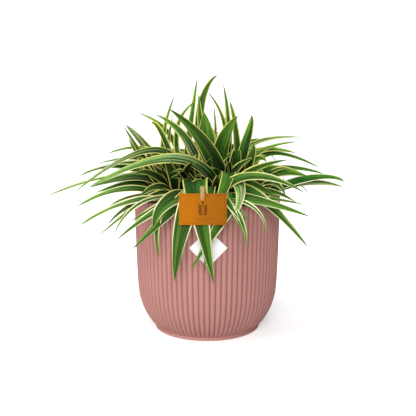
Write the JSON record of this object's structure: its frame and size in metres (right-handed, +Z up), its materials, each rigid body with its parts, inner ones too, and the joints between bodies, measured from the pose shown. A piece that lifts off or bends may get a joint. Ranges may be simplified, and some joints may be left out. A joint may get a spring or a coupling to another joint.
{
  "type": "potted spider plant",
  "caption": "Variegated spider plant with arching striped leaves, growing in a ribbed pink pot, with a small card pegged to a front leaf and a blank label.",
  "frame": {"origin": "middle of the pot's foot, on the surface that it stands on", "axes": "+Z up along the pot's axis; -Y towards the viewer, the side with the card and the label; +X to the viewer's right"},
  "size_m": [0.294, 0.2237, 0.243],
  "materials": {
    "pot": "matte",
    "grower_pot": "satin",
    "soil": "matte",
    "leaf": "satin",
    "card": "matte",
    "peg_wood": "matte",
    "spring_wire": "satin",
    "label": "satin"
  },
  "bodies": {
    "root": {"decor_pot": "pot", "nursery_pot": "grower_pot", "potting_soil": "soil", "rosette_front": "leaf", "rosette_left": "leaf", "rosette_right": "leaf", "rosette_centre": "leaf", "rosette_back": "leaf", "card_tag": "card", "peg_front": "peg_wood", "peg_back": "peg_wood", "peg_spring": "spring_wire", "pot_label": "label"}
  },
  "joints": []
}
